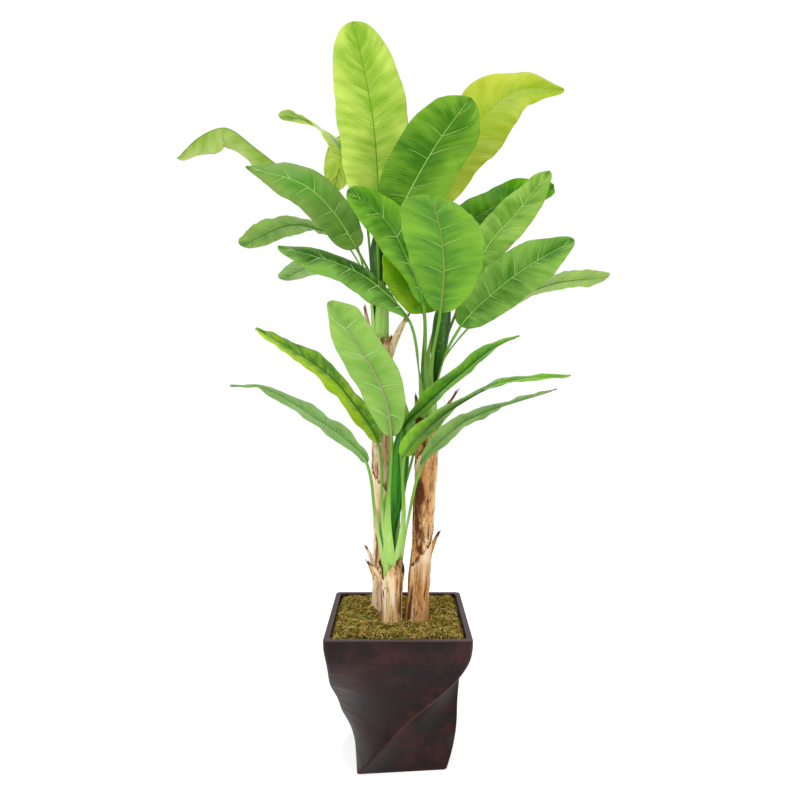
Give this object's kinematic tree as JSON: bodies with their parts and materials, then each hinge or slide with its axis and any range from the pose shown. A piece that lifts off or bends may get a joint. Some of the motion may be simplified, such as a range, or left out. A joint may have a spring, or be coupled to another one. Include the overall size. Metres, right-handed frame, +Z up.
{
  "type": "artificial banana plant",
  "caption": "Artificial banana plant: bark-covered stems with whorls of broad leaves and rolled young leaves, standing in moss in a twisted square planter.",
  "frame": {"origin": "centre of the planter's flat underside, on the floor", "axes": "+Z up; -Y is the side that the short stem and the viewer are on; +X to the viewer's right"},
  "size_m": [1.514, 1.0753, 2.3314],
  "materials": {
    "planter": "satin dark mahogany brown with faint reddish brush streaks",
    "moss_bed": "matt olive moss",
    "tall_stem": "matt pinkish tan bark",
    "tall_spear": "satin dark green rolled leaf",
    "tall_leaf_upright": "satin green leaf with embossed veins",
    "tall_leaf_far_left": "satin green leaf with embossed veins",
    "tall_leaf_left": "satin green leaf with embossed veins",
    "tall_leaf_back_left": "satin green leaf with embossed veins",
    "tall_leaf_back_left_high": "satin green leaf with embossed veins",
    "tall_leaf_back": "satin green leaf with embossed veins",
    "tall_leaf_front": "satin green leaf with embossed veins",
    "tall_leaf_right_high": "satin green leaf with embossed veins",
    "tall_leaf_back_right": "satin green leaf with embossed veins",
    "tall_leaf_back_left_low": "satin green leaf with embossed veins",
    "middle_stem": "matt golden tan bark with dark patches",
    "middle_spear": "satin dark green rolled leaf",
    "middle_leaf_front": "satin green leaf with embossed veins",
    "middle_leaf_left_high": "satin green leaf with embossed veins",
    "middle_leaf_left_low": "satin green leaf with embossed veins",
    "middle_leaf_right_high": "satin green leaf with embossed veins",
    "middle_leaf_right": "satin green leaf with embossed veins",
    "middle_leaf_back_right": "satin green leaf with embossed veins",
    "middle_leaf_back_left": "satin green leaf with embossed veins",
    "middle_leaf_back": "satin green leaf with embossed veins",
    "short_stem": "matt pale cream bark, torn at the top",
    "short_spear": "satin dark green rolled leaf",
    "short_leaf_front": "satin green leaf with embossed veins",
    "short_leaf_left": "satin green leaf with embossed veins",
    "short_leaf_left_low": "satin green leaf with embossed veins",
    "short_leaf_right_high": "satin green leaf with embossed veins",
    "short_leaf_right": "satin green leaf with embossed veins",
    "short_leaf_right_low": "satin green leaf with embossed veins",
    "short_leaf_back_right": "satin green leaf with embossed veins",
    "short_leaf_back_left": "satin green leaf with embossed veins"
  },
  "bodies": {
    "root": {"planter": "planter", "moss_bed": "moss_bed", "tall_stem": "tall_stem", "tall_spear": "tall_spear", "tall_leaf_upright": "tall_leaf_upright", "tall_leaf_far_left": "tall_leaf_far_left", "tall_leaf_left": "tall_leaf_left", "tall_leaf_back_left": "tall_leaf_back_left", "tall_leaf_back_left_high": "tall_leaf_back_left_high", "tall_leaf_back": "tall_leaf_back", "tall_leaf_front": "tall_leaf_front", "tall_leaf_right_high": "tall_leaf_right_high", "tall_leaf_back_right": "tall_leaf_back_right", "tall_leaf_back_left_low": "tall_leaf_back_left_low", "middle_stem": "middle_stem", "middle_spear": "middle_spear", "middle_leaf_front": "middle_leaf_front", "middle_leaf_left_high": "middle_leaf_left_high", "middle_leaf_left_low": "middle_leaf_left_low", "middle_leaf_right_high": "middle_leaf_right_high", "middle_leaf_right": "middle_leaf_right", "middle_leaf_back_right": "middle_leaf_back_right", "middle_leaf_back_left": "middle_leaf_back_left", "middle_leaf_back": "middle_leaf_back", "short_stem": "short_stem", "short_spear": "short_spear", "short_leaf_front": "short_leaf_front", "short_leaf_left": "short_leaf_left", "short_leaf_left_low": "short_leaf_left_low", "short_leaf_right_high": "short_leaf_right_high", "short_leaf_right": "short_leaf_right", "short_leaf_right_low": "short_leaf_right_low", "short_leaf_back_right": "short_leaf_back_right", "short_leaf_back_left": "short_leaf_back_left"}
  },
  "joints": []
}
